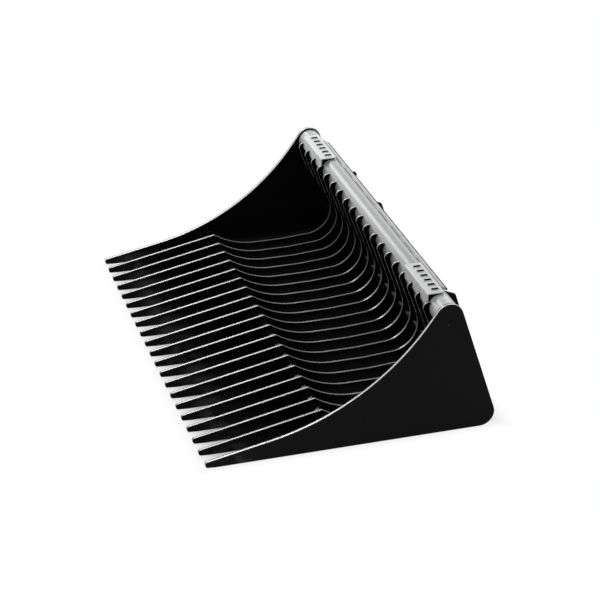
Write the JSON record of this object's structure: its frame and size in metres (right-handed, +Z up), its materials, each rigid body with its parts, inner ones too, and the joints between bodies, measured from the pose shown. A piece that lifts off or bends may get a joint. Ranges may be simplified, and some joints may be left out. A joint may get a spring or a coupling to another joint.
{
  "type": "skeleton rock bucket",
  "caption": "Skeleton rock bucket: plate tines between solid side plates, joined by tubes, with step treads and a rear coupler plate, for sifting rocks from soil.",
  "frame": {"origin": "middle of the bounding box at ground level", "axes": "+X across the bucket's width, -Y to the front where the tips are, +Z up from the ground"},
  "size_m": [1.892, 1.244, 0.5723],
  "materials": {
    "black_paint": "gloss black paint over steel plate",
    "silver_tube": "satin silver paint over steel tube",
    "tread_steel": "bright plated steel"
  },
  "bodies": {
    "root": {"side_plate_left": "black_paint", "side_plate_right": "black_paint", "tine_01": "black_paint", "tine_02": "black_paint", "tine_03": "black_paint", "tine_04": "black_paint", "tine_05": "black_paint", "tine_06": "black_paint", "tine_07": "black_paint", "tine_08": "black_paint", "tine_09": "black_paint", "tine_10": "black_paint", "tine_11": "black_paint", "tine_12": "black_paint", "tine_13": "black_paint", "tine_14": "black_paint", "tine_15": "black_paint", "tine_16": "black_paint", "tine_17": "black_paint", "tine_18": "black_paint", "tine_19": "black_paint", "top_tube": "silver_tube", "front_cross_tube": "black_paint", "rear_cross_tube": "black_paint", "coupler_plate": "black_paint", "coupler_flange": "black_paint", "coupler_lip_left": "black_paint", "coupler_end_left": "black_paint", "step_tread_left": "tread_steel", "eye_lug_left": "black_paint", "inner_gusset_left": "black_paint", "outer_gusset_left": "black_paint", "coupler_lip_right": "black_paint", "coupler_end_right": "black_paint", "step_tread_right": "tread_steel", "eye_lug_right": "black_paint", "inner_gusset_right": "black_paint", "outer_gusset_right": "black_paint", "back_rail": "silver_tube", "corner_lug": "black_paint", "hose_lug": "black_paint"}
  },
  "joints": []
}
